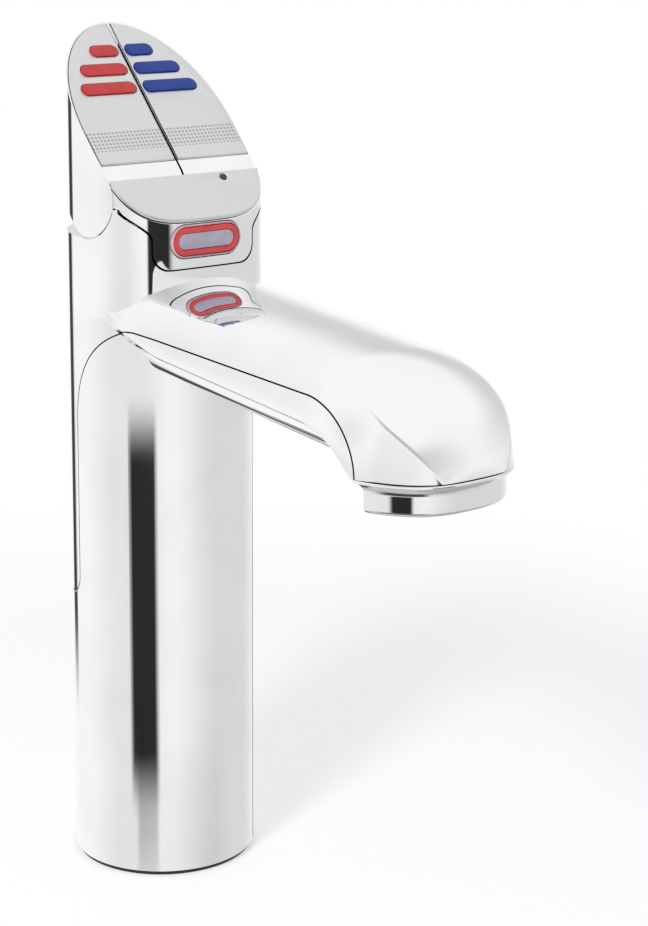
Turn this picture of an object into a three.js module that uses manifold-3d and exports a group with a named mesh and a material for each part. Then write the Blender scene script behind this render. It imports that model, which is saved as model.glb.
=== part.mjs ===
// Two-lever mixer-style tap for boiling and chilled drinking water.
// Millimetres, +Z up. The origin is the centre of the column's foot, on the worktop.
// The spout points along -Y, the boiling lever is on the -X side, the chilled one on +X.
import * as THREE from 'three';
import { mergeVertices } from 'three/addons/utils/BufferGeometryUtils.js';
import Module from 'manifold-3d';

const wasm = await Module();
wasm.setup();

// ---- Driving dimensions -------------------------------------------------------------
const gap = 0.3;                 // clearance between neighbouring pieces

const columnRadius = 30;         // the round column, and the back of the head
const columnWall = 2.6;
const spoutTopRoot = 197.9;      // crown of the spout where it leaves the head
const roundSegments = 72;        // facets round the column

const sealThickness = 1.2;       // rubber ring between the foot and the worktop
const basePlateThickness = 6;
const sealWidth = 8;             // the rubber ring, round the plate's boss
const screwInset = 1.6;          // from the seal's inner edge to a screw head
const screwRadius = 1.2;
const screwHeadRadius = 2.4;
const screwHeadHeight = 2.2;
const screwReach = 2.1;          // how far a screw stands out past what it holds

const headFront = 25.3;          // how far the flattened front of the head lies from the axis
const headSquareness = 3.6;      // superellipse exponent of that front
const headFloorDepth = 11.9;     // from the spout's crown to the underside of the squared head
const facePitch = 47.1;          // slope of the lever faces to the horizontal, degrees
const headHeight = 46.8;         // from the spout's crown to the plane of the faces, on the axis

const pivotY = -2.4;             // the levers' axle
const pivotDepth = 12.74;        // from the plane of the faces to the axle, square to the plane
const barrelRadius = 12.6;       // round lower end of a lever
const leverUnderPitch = 29;      // slope of a lever's underside behind the barrel, degrees
const rimPitch = 1.5;            // slope of the body's rim behind the barrel, degrees
const fasciaEdge = -13.4;        // top edge of the fascia, in front of the barrels
const leverSplit = 1.2;          // gap between the two levers
const leverInset = 0.5;          // levers sit this far inside the head's outline
const faceRim = 0.9;             // lever edge left round the brushed plate
const faceThickness = 0.8;       // brushed plates on the levers and the fascia
const faceEnd = -9.3;            // lower end of the brushed lever plates

const barPitchY = 5.2;           // bars on the faces, along Y
const barFirstY = 21.1;
const barHalfWidth = 2.45;       // across a bar, in the face
const barLengths = [10.4, 17.5, 20.7];
const barInner = 1.6;            // from the middle of the face to a bar's inner end
const barProud = 0.5;

const insertHalfWidth = 19.4;    // fascia insert, seen from the front
const insertRise = 3.9;          // from the spout's crown to the insert's lower edge
const insertCorner = 6;
const insertShoulderRise = 9.7;  // from that edge to where its sides start to flare out
const insertTopHalfWidth = 27.6;
const insertTopRise = 19.7;      // and to where the flare ends
const insertDepth = 9;
const insertLip = 4;             // below the flare's end the insert reaches back to the cradle

const buttonWidth = 27;
const buttonHeight = 10.6;
const buttonRise = 8.5;          // from the insert's lower edge to the button's middle
const buttonProud = 0.5;
const buttonDepth = 3;
const buttonCupDepth = 1.4;
const buttonRecess = 0.1;
const buttonRimWidth = 0.8;
const buttonRingWidth = 1.8;
const buttonTravel = 1.2;
const plungerRadius = 2;
const plungerLength = 1.6;
const switchWidth = 6;
const switchHeight = 3;

const indicatorX = 14.2;
const indicatorY = -15.3;
const indicatorRadius = 1.1;
const indicatorDepth = 0.7;
const indicatorSink = 0.1;

const spoutHalfWidth = 30;
const noseStart = -110.5;        // where the spout's plan starts to close
const noseLength = 42.5;
const noseSquareness = 2.7;
const spoutTopFall = 0.093;      // fall of the crown per millimetre outwards
const crownRadius = 60;          // the top is gently rounded across
const creaseShare = 0.74;        // where the top ends in a crease, against the spout's width
const creaseTipShare = 0.86;     // the same at the tip
const creaseTurn = -120;         // where the one starts to become the other
const creaseRun = 20;
const shoulderBend = 1.5;        // how much the shoulder below the crease bulges
const bellySquareness = 2.6;
const flankSquareness = 1.3;
const shoulderSteps = 5;
const crownSteps = 5;
const bellyShare = 0.7;          // width of the spout's belly against its shoulders
const bellyTipShare = 0.95;      // the same at the tip
const bellyDepth = 9;
const flankDepth = 4;            // the flank turns in over this height, down to the belly
const flankRootDepth = 12;       // the same where it grows out of the column
const flankBlendY = -42;         // where the one has become the other
const rootInset = 0.6;           // the spout's sides start this far inside the column's
const sideDepth = 21.9;          // from the crown to the edge between flank and belly, at the root
const sideLowFall = 0.095;
const droopStart = -114;         // the crown curves down from here
const droopRadiusY = 38.5;
const droopRadiusZ = 33;
const droopLimit = 0.95;         // share of the droop past which the top's rounding stays alike
const tuckStart = -110;          // the underside curves down from here
const tuckRadiusY = 27;
const tuckRadiusZ = 30;
const rimDepth = 39.1;           // from the crown at the root to the spout's lower rim
const spoutWall = 2.8;

const collarInset = 0.9;         // the outlet collar inside the spout's rim
const outletInset = 2.9;         // its lower, narrower ring
const collarLip = 0.9;           // the bead under the rim; below it a cove draws the collar in
const coveHeight = 3;
const outletEdge = 1.2;          // the rounded edge at the mouth
const outletHeight = 9.9;        // from the rim down to the mouth
const outletBack = -128.3;
const outletChamfer = 1.2;       // at the two back corners
const outletSteps = 22;
const outletWall = 2.4;
const insertRecess = 2.2;
const insertThickness = 3;
const jetRadius = 1.1;
const jetPitch = 4.4;
const jetRowPitch = 3.6;
const jetMargin = 3;

const seamY = 5;                 // joint between the two shells, up the column's sides
const seamLow = 91;
const seamCorner = 7;
const seamCrownY = -27;          // the crown of its arch
const seamCrownDepth = 14;       // from the spout's crown to the arch's
const seamRise = 33.4;           // from where the joint starts to arch forwards to its crown
const seamFall = 0.06;
const seamTurn = -108;
const seamEndY = -132;

const tubeRadius = 3.6;
const tubeBore = 2.6;
const ventRadius = 2.6;
const ventBore = 1.8;
const inletDepth = 12;           // the tubes are drawn open over this length from below
const tubeSpacing = 9;
const tubeY = 9;
const tubeDepth = 13.9;          // from the spout's crown to the tubes' centre line
const tubeBend = 20;
const tubeFall = 7.5;
const manifoldBack = -97;
const throatLength = 8;

const axleRadius = 2;
const bushRadius = 3.2;
const bushStart = 3;
const bushLength = 4;
const axleHalfLength = 24;
const earX = 17;
const earThickness = 5;
const earRadius = 4.6;
const earPocketInner = 9.6;      // the pocket in each lever that the ear and spring stand in
const earPocketOuter = 20;
const leverSwing = 16;           // the pocket clears this swing either way, degrees
const springWire = 0.4;
const springRadius = 3.4;
const springTurns = 3;
const springStart = 10.6;
const springLength = 3;

const roofThickness = 4;         // shell left between the cradle and the hollow under it
const carrierThickness = 3;
const carrierHalfWidth = 21;
const carrierFront = -9;
const carrierBack = 16;
const carrierScrewX = 15;
const carrierScrewY = 11;
const leverSwitchX = 9;
const boardHalfWidth = 12;
const boardThickness = 1.6;
const boardDepth = 0.9;          // from the spout's crown to the board's upper edge
const boardHeight = 46;
const tabLength = 10;

// ---- Materials ----------------------------------------------------------------------
const finish = (color, roughness, metalness) =>
  new THREE.MeshStandardMaterial({ color, roughness, metalness });
const chrome = finish(0xe8eaec, 0.06, 1);
const brushed = finish(0xd2d4d6, 0.34, 1);
const redPlastic = finish(0xc8393a, 0.3, 0);
const bluePlastic = finish(0x1c459a, 0.3, 0);
const lilacPlastic = finish(0xb9acc6, 0.35, 0);
const clearPlastic = finish(0xe6cfdc, 0.15, 0);
const darkPlastic = finish(0x2b2c2f, 0.45, 0);
const greyPlastic = finish(0x8d9094, 0.5, 0);
const rubber = finish(0x232425, 0.8, 0);
const brass = finish(0xb59a55, 0.35, 1);
const steel = finish(0xb8bbbe, 0.3, 1);
const copper = finish(0xb8714a, 0.3, 1);
const boardGreen = finish(0x1f5b3a, 0.5, 0);

// ---- Solids -------------------------------------------------------------------------
const tap = new THREE.Group();
const radians = THREE.MathUtils.degToRad;

function solid(geometry) {
  const bare = geometry.index ? geometry.toNonIndexed() : geometry.clone();
  bare.deleteAttribute('normal');
  bare.deleteAttribute('uv');
  const merged = mergeVertices(bare, 1e-4);
  return new wasm.Manifold(new wasm.Mesh({
    numProp: 3,
    vertProperties: new Float32Array(merged.attributes.position.array),
    triVerts: new Uint32Array(merged.index.array),
  }));
}

function add(name, shape, material) {
  const data = shape.getMesh();
  const geometry = new THREE.BufferGeometry();
  geometry.setAttribute('position', new THREE.BufferAttribute(new Float32Array(data.vertProperties), 3));
  geometry.setIndex(new THREE.BufferAttribute(new Uint32Array(data.triVerts), 1));
  geometry.computeVertexNormals();
  const mesh = new THREE.Mesh(geometry, material);
  mesh.name = name;
  tap.add(mesh);
  return mesh;
}

const union = (shapes) => shapes.reduce((sum, shape) => sum.add(shape));
const mirrored = (points) => points.map(([x, z]) => [-x, z]).reverse();

function prism(points, from, to) {
  const shape = new THREE.Shape(points.map(([x, y]) => new THREE.Vector2(x, y)));
  const geometry = new THREE.ExtrudeGeometry(shape, { depth: to - from, bevelEnabled: false });
  return geometry.translate(0, 0, from);
}
// A prism whose outline lies in the XY plane, in the YZ plane, or in the XZ plane.
const prismZ = (points, from, to) => solid(prism(points, from, to));
const prismX = (points, from, to) => solid(prism(points, from, to).applyMatrix4(
  new THREE.Matrix4().set(0, 0, 1, 0, 1, 0, 0, 0, 0, 1, 0, 0, 0, 0, 0, 1)));
const prismY = (points, from, to) => solid(prism(points, -to, -from).rotateX(Math.PI / 2));

const box = (x0, x1, y0, y1, z0, z1) => solid(
  new THREE.BoxGeometry(x1 - x0, y1 - y0, z1 - z0)
    .translate((x0 + x1) / 2, (y0 + y1) / 2, (z0 + z1) / 2));
const cylinderZ = (radius, z0, z1, x = 0, y = 0, segments = roundSegments) => solid(
  new THREE.CylinderGeometry(radius, radius, z1 - z0, segments)
    .rotateX(Math.PI / 2).translate(x, y, (z0 + z1) / 2));
// A cylinder on the levers' axis.
const cylinderX = (radius, x0, x1, segments = 32) => solid(
  new THREE.CylinderGeometry(radius, radius, x1 - x0, segments)
    .rotateZ(Math.PI / 2).translate((x0 + x1) / 2, pivotY, pivotZ));
const cylinderY = (radius, y0, y1, x, z, segments = 20) => solid(
  new THREE.CylinderGeometry(radius, radius, y1 - y0, segments).translate(x, (y0 + y1) / 2, z));

function arc(cx, cy, radius, from, to, steps) {
  const points = [];
  for (let i = 0; i <= steps; i += 1) {
    const angle = radians(from + (to - from) * i / steps);
    points.push([cx + radius * Math.cos(angle), cy + radius * Math.sin(angle)]);
  }
  return points;
}

// A closed skin through rings of equal length, with flat ends.
function loft(rings) {
  const count = rings[0].length;
  const positions = [];
  const quad = (a, b, c, d) => positions.push(...a, ...b, ...c, ...a, ...c, ...d);
  for (let i = 0; i + 1 < rings.length; i += 1) {
    for (let j = 0; j < count; j += 1) {
      const k = (j + 1) % count;
      quad(rings[i][j], rings[i][k], rings[i + 1][k], rings[i + 1][j]);
    }
  }
  const centre = (ring) => ring[0].map((_, axis) => ring.reduce((sum, p) => sum + p[axis], 0) / count);
  const first = centre(rings[0]);
  const last = centre(rings.at(-1));
  for (let j = 0; j < count; j += 1) {
    const k = (j + 1) % count;
    positions.push(...first, ...rings[0][k], ...rings[0][j]);
    positions.push(...last, ...rings.at(-1)[j], ...rings.at(-1)[k]);
  }
  const geometry = new THREE.BufferGeometry();
  geometry.setAttribute('position', new THREE.Float32BufferAttribute(positions, 3));
  return solid(geometry);
}

// ---- Planes and outlines shared by the pieces -----------------------------------------
const slope = Math.tan(radians(facePitch));
const faceHeight = spoutTopRoot + headHeight;
const pivotZ = faceHeight + slope * pivotY - pivotDepth / Math.cos(radians(facePitch));
const headFloor = spoutTopRoot - headFloorDepth;
const insertBottom = spoutTopRoot + insertRise;
const insertShoulder = insertBottom + insertShoulderRise;
const insertTopHeight = insertBottom + insertTopRise;
const insertLipZ = insertTopHeight - insertLip;
const buttonCentreZ = insertBottom + buttonRise;
const sideLowRoot = spoutTopRoot - sideDepth;
const rimZ = spoutTopRoot - rimDepth;
const outletBottom = rimZ - outletHeight;
const seamCrownZ = spoutTopRoot - seamCrownDepth;
const boardTop = spoutTopRoot - boardDepth;
const faceZ = (y) => faceHeight + slope * y;
const farAway = 180;
const overTop = 330;             // a level above the whole tap
const underHead = 150;           // a level in the column, under everything in the head

// Everything below the plane of the lever faces, lowered by some depth square to it.
function belowFace(depth) {
  const drop = depth / Math.cos(radians(facePitch));
  return prismX([[-farAway, 0], [farAway, 0], [farAway, faceZ(farAway) - drop],
    [-farAway, faceZ(-farAway) - drop]], -farAway, farAway);
}

// The head's outline in plan: half a circle behind, a superellipse in front.
function headOutline(inset) {
  const radius = columnRadius - inset;
  const front = headFront - inset;
  const points = arc(0, 0, radius, 0, 180, roundSegments / 2);
  const steps = 20;
  for (let i = 1; i < steps; i += 1) {
    const angle = Math.PI * (1 + i / steps);
    const x = radius * Math.sign(Math.cos(angle)) * Math.abs(Math.cos(angle)) ** (2 / headSquareness);
    const y = -front * Math.abs(Math.sin(angle)) ** (2 / headSquareness);
    points.push([x, y]);
  }
  return points;
}

// Half-width of the spout in plan at a distance along Y.
function noseHalfWidth(y, inset) {
  const along = THREE.MathUtils.clamp((noseStart - y) / (noseLength - inset), 0, 1);
  const root = rootInset * (1 - THREE.MathUtils.smoothstep(y / flankBlendY, 0, 1));
  return (spoutHalfWidth - inset - root) * (1 - along ** noseSquareness) ** (1 / noseSquareness);
}

function crownZ(y, inset) {
  const straight = spoutTopRoot - inset + spoutTopFall * (y + headFront);
  const along = THREE.MathUtils.clamp((droopStart - y) / (droopRadiusY - inset), 0, 1);
  return straight - (droopRadiusZ - inset) * (1 - Math.sqrt(1 - along ** 2));
}

// How much further a height falls than a depth square to the crown, where the crown curves down.
function crownSteepness(y) {
  const along = THREE.MathUtils.clamp((droopStart - y) / droopRadiusY, 0, droopLimit);
  return Math.hypot(1, (droopRadiusZ / droopRadiusY) * along / Math.sqrt(1 - along ** 2));
}

function sideLowZ(y) {
  const straight = sideLowRoot + sideLowFall * (y + headFront);
  const along = THREE.MathUtils.clamp((tuckStart - y) / tuckRadiusY, 0, 1);
  return straight - tuckRadiusZ * (1 - Math.sqrt(1 - along ** 2));
}

function quarter(steps, from, to, width, height, squareness) {
  const points = [];
  for (let i = 0; i < steps; i += 1) {
    const angle = radians(from + (to - from) * i / steps);
    points.push([width * Math.sign(Math.cos(angle)) * Math.abs(Math.cos(angle)) ** (2 / squareness),
      height * Math.sign(Math.sin(angle)) * Math.abs(Math.sin(angle)) ** (2 / squareness)]);
  }
  return points;
}

// One section of the spout: a gently rounded top between creases, sloping shoulders, flanks
// that turn in, and a narrower belly.
function spoutRing(y, inset) {
  const shoulder = noseHalfWidth(y, inset);
  const belly = shoulder * THREE.MathUtils.lerp(bellyShare, bellyTipShare,
    THREE.MathUtils.smoothstep(tuckStart - y, 0, tuckRadiusY));
  const low = sideLowZ(y);
  const grown = THREE.MathUtils.smoothstep(y / flankBlendY, 0, 1);
  const depth = THREE.MathUtils.lerp(flankRootDepth, flankDepth, grown);
  const middle = low + depth;
  const flank = (side) => arc(0, 0, 1, 0, 90, 3).slice(1, -1).map(([c, s]) =>
    [side * THREE.MathUtils.lerp(belly, shoulder, c ** (2 / flankSquareness)),
      middle - depth * s ** (2 / flankSquareness)]);
  const crease = shoulder * THREE.MathUtils.lerp(creaseShare, creaseTipShare,
    THREE.MathUtils.smoothstep(creaseTurn - y, 0, creaseRun));
  const topZ = (x) => crownZ(y, inset)
    - crownSteepness(y) * (crownRadius - Math.sqrt(crownRadius ** 2 - x ** 2));
  const half = [];
  for (let i = 0; i < shoulderSteps; i += 1) {
    const rise = i / shoulderSteps;
    half.push([THREE.MathUtils.lerp(shoulder, crease, rise ** shoulderBend),
      THREE.MathUtils.lerp(middle, topZ(crease), rise)]);
  }
  for (let i = 0; i < crownSteps; i += 1) {
    const x = crease * (1 - i / crownSteps);
    half.push([x, topZ(x)]);
  }
  const top = [...half, [0, topZ(0)], ...half.slice(1).reverse().map(([x, z]) => [-x, z])];
  const bottom = quarter(16, 180, 360, belly, bellyDepth - inset, bellySquareness)
    .map(([x, z]) => [x, low + z]);
  return [...top, [-shoulder, middle], ...flank(-1), ...bottom, [belly, low], ...flank(1).reverse()]
    .map(([x, z]) => [x, y, z]);
}

function spoutBody(inset, root) {
  const stations = [root, -10, -20, -31, flankBlendY, -75, -100];
  const steps = 14;
  for (let i = 0; i <= steps; i += 1) {
    stations.push(noseStart - (noseLength - inset) * Math.sin(radians(84 * i / steps)));
  }
  return loft(stations.map((y) => spoutRing(y, inset)));
}

// The outlet's outline in plan, drawn in from the spout's rim.
function outletOutline(inset) {
  const back = outletBack - inset;
  const reach = (noseStart - back + outletChamfer) / (noseLength - inset);
  const start = THREE.MathUtils.radToDeg(Math.asin(reach ** (noseSquareness / 2)));
  const front = quarter(outletSteps, 180 + start, 360 - start, spoutHalfWidth - inset,
    noseLength - inset, noseSquareness).map(([x, y]) => [x, noseStart + y]);
  const edge = Math.abs(front[0][0]);
  return [...front, [edge, back - outletChamfer], [edge - outletChamfer, back], [outletChamfer - edge, back]];
}

// The joint between the shells, as a line in the YZ plane from the back to the spout's rim.
function seamLine(offset) {
  const points = [[farAway, seamLow - offset]];
  points.push(...arc(seamY + seamCorner, seamLow + seamCorner, seamCorner + offset, -90, -180, 6));
  const seamSpringZ = seamCrownZ - seamRise;
  const run = seamY - seamCrownY;
  for (let i = 0; i <= 12; i += 1) {
    const angle = Math.PI / 2 * i / 12;
    points.push([seamCrownY + (run - offset) * Math.cos(angle),
      seamSpringZ + (seamRise - offset) * Math.sin(angle)]);
  }
  const turnZ = seamCrownZ - offset + seamFall * (seamTurn - seamCrownY);
  const fall = turnZ - rimZ + 2;
  for (let i = 0; i <= 6; i += 1) {
    const angle = Math.PI / 2 * i / 6;
    points.push([seamTurn - (seamTurn - seamEndY - offset) * Math.sin(angle),
      turnZ - fall * (1 - Math.cos(angle))]);
  }
  return points;
}

// ---- The chrome shells ----------------------------------------------------------------
const rimFloor = pivotZ - barrelRadius - gap;

// What the levers and their swing take out of the head.
function leverRoom() {
  const cradle = cylinderX(barrelRadius + gap + 0.1, -farAway, farAway, 48);
  const rise = Math.tan(radians(rimPitch));
  const behind = prismX([[pivotY, rimFloor], [pivotY + farAway, rimFloor + rise * farAway],
    [pivotY + farAway, overTop], [pivotY, overTop]], -farAway, farAway);
  const above = prismX([[fasciaEdge, pivotZ], [pivotY, pivotZ], [pivotY, overTop], [fasciaEdge, overTop]],
    -farAway, farAway);
  return union([cradle, behind, above]);
}

// The fascia insert's outline from the front, right half, from the bottom up.
function insertHalfOutline(clearance) {
  const side = insertHalfWidth + clearance;
  const low = insertBottom - clearance;
  const corner = arc(side - insertCorner, low + insertCorner, insertCorner, -90, 0, 8);
  const flare = [];
  for (let i = 0; i <= 8; i += 1) {
    const t = i / 8;
    const bend = (1 - Math.cos(Math.PI * t)) / 2;
    flare.push([side + (insertTopHalfWidth - insertHalfWidth) * bend,
      insertShoulder - clearance + (insertTopHeight - insertShoulder) * t]);
  }
  return [...corner, ...flare, [side + farAway, insertTopHeight + 4], [side + farAway, overTop]];
}

// The insert is as deep as its block below, and forms the cradle's front lip above.
function insertRoom(clearance) {
  const half = insertHalfOutline(clearance);
  const outline = [...half, ...mirrored(half)];
  const lip = prismY(outline, -farAway, pivotY)
    .intersect(box(-farAway, farAway, -farAway, farAway, insertLipZ - clearance, overTop));
  return prismY(outline, -farAway, -headFront + insertDepth + clearance).add(lip);
}

function outerBody() {
  const column = cylinderZ(columnRadius, sealThickness + gap, overTop);
  const head = prismZ(headOutline(0), headFloor, overTop);
  const nose = spoutBody(0, -0.5);
  const squareHead = column.subtract(box(-farAway, farAway, -farAway, 0, headFloor + 6, overTop)).add(head);
  const belowRim = box(-farAway, farAway, -farAway, tuckStart, 0, rimZ);
  return squareHead.intersect(belowFace(0)).add(nose).subtract(belowRim);
}

function innerBody() {
  const column = cylinderZ(columnRadius - columnWall, -1, headFloor + 2);
  const belowFloor = box(-farAway, farAway, -farAway, tuckStart, 0, rimZ + spoutWall);
  const nose = spoutBody(spoutWall, -2).subtract(belowFloor);
  const inHead = prismZ(headOutline(columnWall), headFloor, rimFloor - roofThickness);
  const outletWell = prismZ(outletOutline(outletInset + outletWall), rimZ - 10, rimZ + 6);
  return union([column, nose, inHead, outletWell]);
}

const body = outerBody();
const hollow = innerBody();
const room = leverRoom();
const hollowBody = body.subtract(hollow).subtract(room);

function seamSide(offset, lower) {
  const line = seamLine(offset);
  const last = line.at(-1);
  const corners = lower
    ? [[last[0], -10], [farAway, -10]]
    : [[last[0], rimZ - 60], [-farAway, rimZ - 60], [-farAway, overTop], [farAway, overTop]];
  return prismX([...line, ...corners], -farAway, farAway);
}

// Openings in the cradle for the carrier's ears.
const earSlots = [-1, 1].map((side) => box(
  side * earX - earThickness / 2 - 0.6, side * earX + earThickness / 2 + 0.6,
  pivotY - earRadius - 0.6, pivotY + earRadius + 0.6, underHead, pivotZ));

const lowerShell = hollowBody.intersect(seamSide(gap / 2, true));
const carrierScrewHoles = [-1, 1].map((side) => cylinderZ(screwRadius + gap, underHead,
  rimFloor - roofThickness + screwReach, side * carrierScrewX, carrierScrewY, 12));
const upperShell = hollowBody.intersect(seamSide(-gap / 2, false)).subtract(insertRoom(gap))
  .subtract(union([...earSlots, ...carrierScrewHoles]));
add('lower_shell', lowerShell, chrome);
add('upper_shell', upperShell, chrome);

// ---- Foot -----------------------------------------------------------------------------
const footTop = sealThickness + gap + basePlateThickness;
const tubes = [
  { name: 'boiling_tube', x: -tubeSpacing, y: tubeY, radius: tubeRadius, bore: tubeBore, material: copper },
  { name: 'chilled_tube', x: tubeSpacing, y: tubeY, radius: tubeRadius, bore: tubeBore, material: steel },
  { name: 'vent_tube', x: 0, y: tubeY, radius: ventRadius, bore: ventBore, material: steel },
];

function foot() {
  const sealInner = columnRadius - sealWidth;
  add('base_seal', cylinderZ(columnRadius - collarInset, 0, sealThickness)
    .subtract(cylinderZ(sealInner, -1, sealThickness + 1)), rubber);
  const screwCircle = sealInner - screwInset - screwHeadRadius;
  const places = arc(0, 0, screwCircle, 90, 330, 2);
  const bores = [
    ...tubes.map(({ x, y, radius }) => cylinderZ(radius + gap, -1, footTop + 1, x, y, 16)),
    ...places.map(([x, y]) => cylinderZ(screwRadius + gap, -1, footTop + 1, x, y, 12)),
    ...places.map(([x, y]) => cylinderZ(screwHeadRadius + gap, -1, screwHeadHeight + gap, x, y, 16)),
  ];
  add('base_plate', cylinderZ(columnRadius - columnWall - gap, sealThickness + gap, footTop)
    .add(cylinderZ(sealInner - gap, 0, footTop)).subtract(union(bores)), brass);
  places.forEach(([x, y], index) => add(`base_screw_${index + 1}`,
    cylinderZ(screwHeadRadius, gap, screwHeadHeight, x, y, 16)
      .add(cylinderZ(screwRadius, gap, footTop + screwReach, x, y, 12)), steel));
}

// ---- Water tubes ------------------------------------------------------------------------
const tubeTop = spoutTopRoot - tubeDepth;

// Up the column, round a bend and out along the spout, in a plane square to X.
function waterTube({ name, x, y, radius, bore, material }) {
  const bend = arc(y - tubeBend, tubeTop - tubeBend, tubeBend, 0, 90, 6);
  const route = [[y, gap], ...bend, [manifoldBack + gap, tubeTop - tubeFall]];
  const sides = 10;
  const rings = route.map(([py, pz], index) => {
    const [ay, az] = route[Math.max(index - 1, 0)];
    const [by, bz] = route[Math.min(index + 1, route.length - 1)];
    const length = Math.hypot(by - ay, bz - az);
    const across = [(bz - az) / length, -(by - ay) / length];
    return arc(0, 0, radius, 0, 360, sides).slice(0, sides)
      .map(([c, s]) => [x + c, py - s * across[0], pz - s * across[1]]);
  });
  const inlet = cylinderZ(bore, -1, inletDepth, x, y, sides);
  add(name, loft(rings.reverse()).subtract(inlet), material);
}

// ---- Outlet ---------------------------------------------------------------------------
const insertFloor = outletBottom + insertRecess;
const insertTop = insertFloor + insertThickness;
const mouthInset = outletInset + outletWall;

function outlet() {
  const collarTop = rimZ - gap;
  const level = (z, inset) => outletOutline(inset).map(([x, y]) => [x, y, z]);
  const cove = arc(0, 0, 1, 0, 90, 3).map(([c, s]) => level(
    collarTop - collarLip - coveHeight * (1 - c), THREE.MathUtils.lerp(collarInset, outletInset, s)));
  const edge = arc(0, 0, outletEdge, 0, 90, 3).map(([c, s]) => level(
    outletBottom + outletEdge - s, outletInset + outletEdge - c));
  const ring = loft([level(collarTop, collarInset), ...cove, ...edge].reverse());
  const bore = prismZ(outletOutline(mouthInset), outletBottom - 1, collarTop + 1);
  add('outlet_collar', ring.subtract(bore), chrome);
  const jets = [];
  for (let row = 0; row < 3; row += 1) {
    const y = outletBack - mouthInset - jetMargin - row * jetRowPitch;
    for (let column = row - 4; column <= 4 - row; column += 1) {
      jets.push(cylinderZ(jetRadius, insertFloor - 1, insertTop + 1, column * jetPitch, y, 6));
    }
  }
  add('flow_insert', prismZ(outletOutline(mouthInset + gap), insertFloor, insertTop)
    .subtract(union(jets)), greyPlastic);
}

// A block that takes the three tubes at its back and opens down onto the flow insert.
function manifold() {
  const seat = insertTop + gap;
  const throatBack = outletBack - mouthInset - 2 * gap;
  const chinZ = tubeTop - tubeFall - tubeRadius - 3;
  const top = tubeTop - tubeFall + tubeRadius;
  add('outlet_manifold', prismX([
    [manifoldBack, chinZ], [throatBack, chinZ], [throatBack, seat], [throatBack - throatLength, seat],
    [throatBack - throatLength + 1, chinZ - 3], [throatBack + throatLength, top], [manifoldBack, top],
  ], -tubeSpacing - tubeRadius, tubeSpacing + tubeRadius), greyPlastic);
}

// ---- Fascia and button ------------------------------------------------------------------
const insertBack = -headFront + insertDepth;

// An outline with round ends, its long side along the first axis.
function obround(width, height, x = 0, y = 0) {
  const half = (width - height) / 2;
  return [...arc(x + half, y, height / 2, -90, 90, 10), ...arc(x - half, y, height / 2, 90, 270, 10)];
}
const buttonPrism = (inset, from, to) =>
  prismY(obround(buttonWidth - 2 * inset, buttonHeight - 2 * inset, 0, buttonCentreZ), from, to);

// Stands a shape on the plane of the faces at one place: its z axis points out of that plane.
const onFace = (geometry, x, y) => solid(
  geometry.rotateX(radians(facePitch)).translate(x, y, faceZ(y)));
const indicatorPin = (radius, bottom, top) => onFace(
  new THREE.CylinderGeometry(radius, radius, top - bottom, 16)
    .rotateX(Math.PI / 2).translate(0, 0, (top + bottom) / 2), indicatorX, indicatorY);

function fascia() {
  const front = prismZ(headOutline(0), insertBottom - 10, overTop).intersect(insertRoom(0)).subtract(room);
  const well = indicatorPin(indicatorRadius + gap, -indicatorDepth - gap, 5);
  add('fascia_insert', front.intersect(belowFace(faceThickness + gap))
    .subtract(buttonPrism(-gap, -farAway, insertBack + 1)).subtract(well), chrome);
  add('fascia_plate', front.intersect(belowFace(0)).subtract(belowFace(faceThickness))
    .subtract(well), brushed);
  add('indicator_lens', indicatorPin(indicatorRadius, -indicatorDepth, -indicatorSink), darkPlastic);
}

function button() {
  const front = -headFront - buttonProud;
  const back = front + buttonDepth;
  const floor = front + buttonCupDepth;
  const ringInset = buttonRimWidth + gap;
  const centreInset = ringInset + buttonRingWidth;
  add('button_lens', buttonPrism(0, front, back)
    .subtract(buttonPrism(buttonRimWidth, front - 1, floor + gap)), clearPlastic);
  add('button_ring', buttonPrism(ringInset, front + buttonRecess, floor)
    .subtract(buttonPrism(centreInset, front - 1, floor + 1)), redPlastic);
  add('button_centre', buttonPrism(centreInset + gap, front + buttonRecess, floor), lilacPlastic);
  const plungerEnd = back + gap + plungerLength;
  add('button_plunger', cylinderY(plungerRadius, back + gap, plungerEnd, 0, buttonCentreZ), greyPlastic);
  add('button_switch', box(-switchWidth / 2, switchWidth / 2, plungerEnd + buttonTravel + gap, insertBack,
    buttonCentreZ - switchWidth / 2, buttonCentreZ + switchWidth / 2), darkPlastic);
}

// ---- Carrier, axle and springs ------------------------------------------------------------
const roofZ = rimFloor - roofThickness;
const carrierTop = roofZ - gap;
const carrierBottom = carrierTop - carrierThickness;

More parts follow.
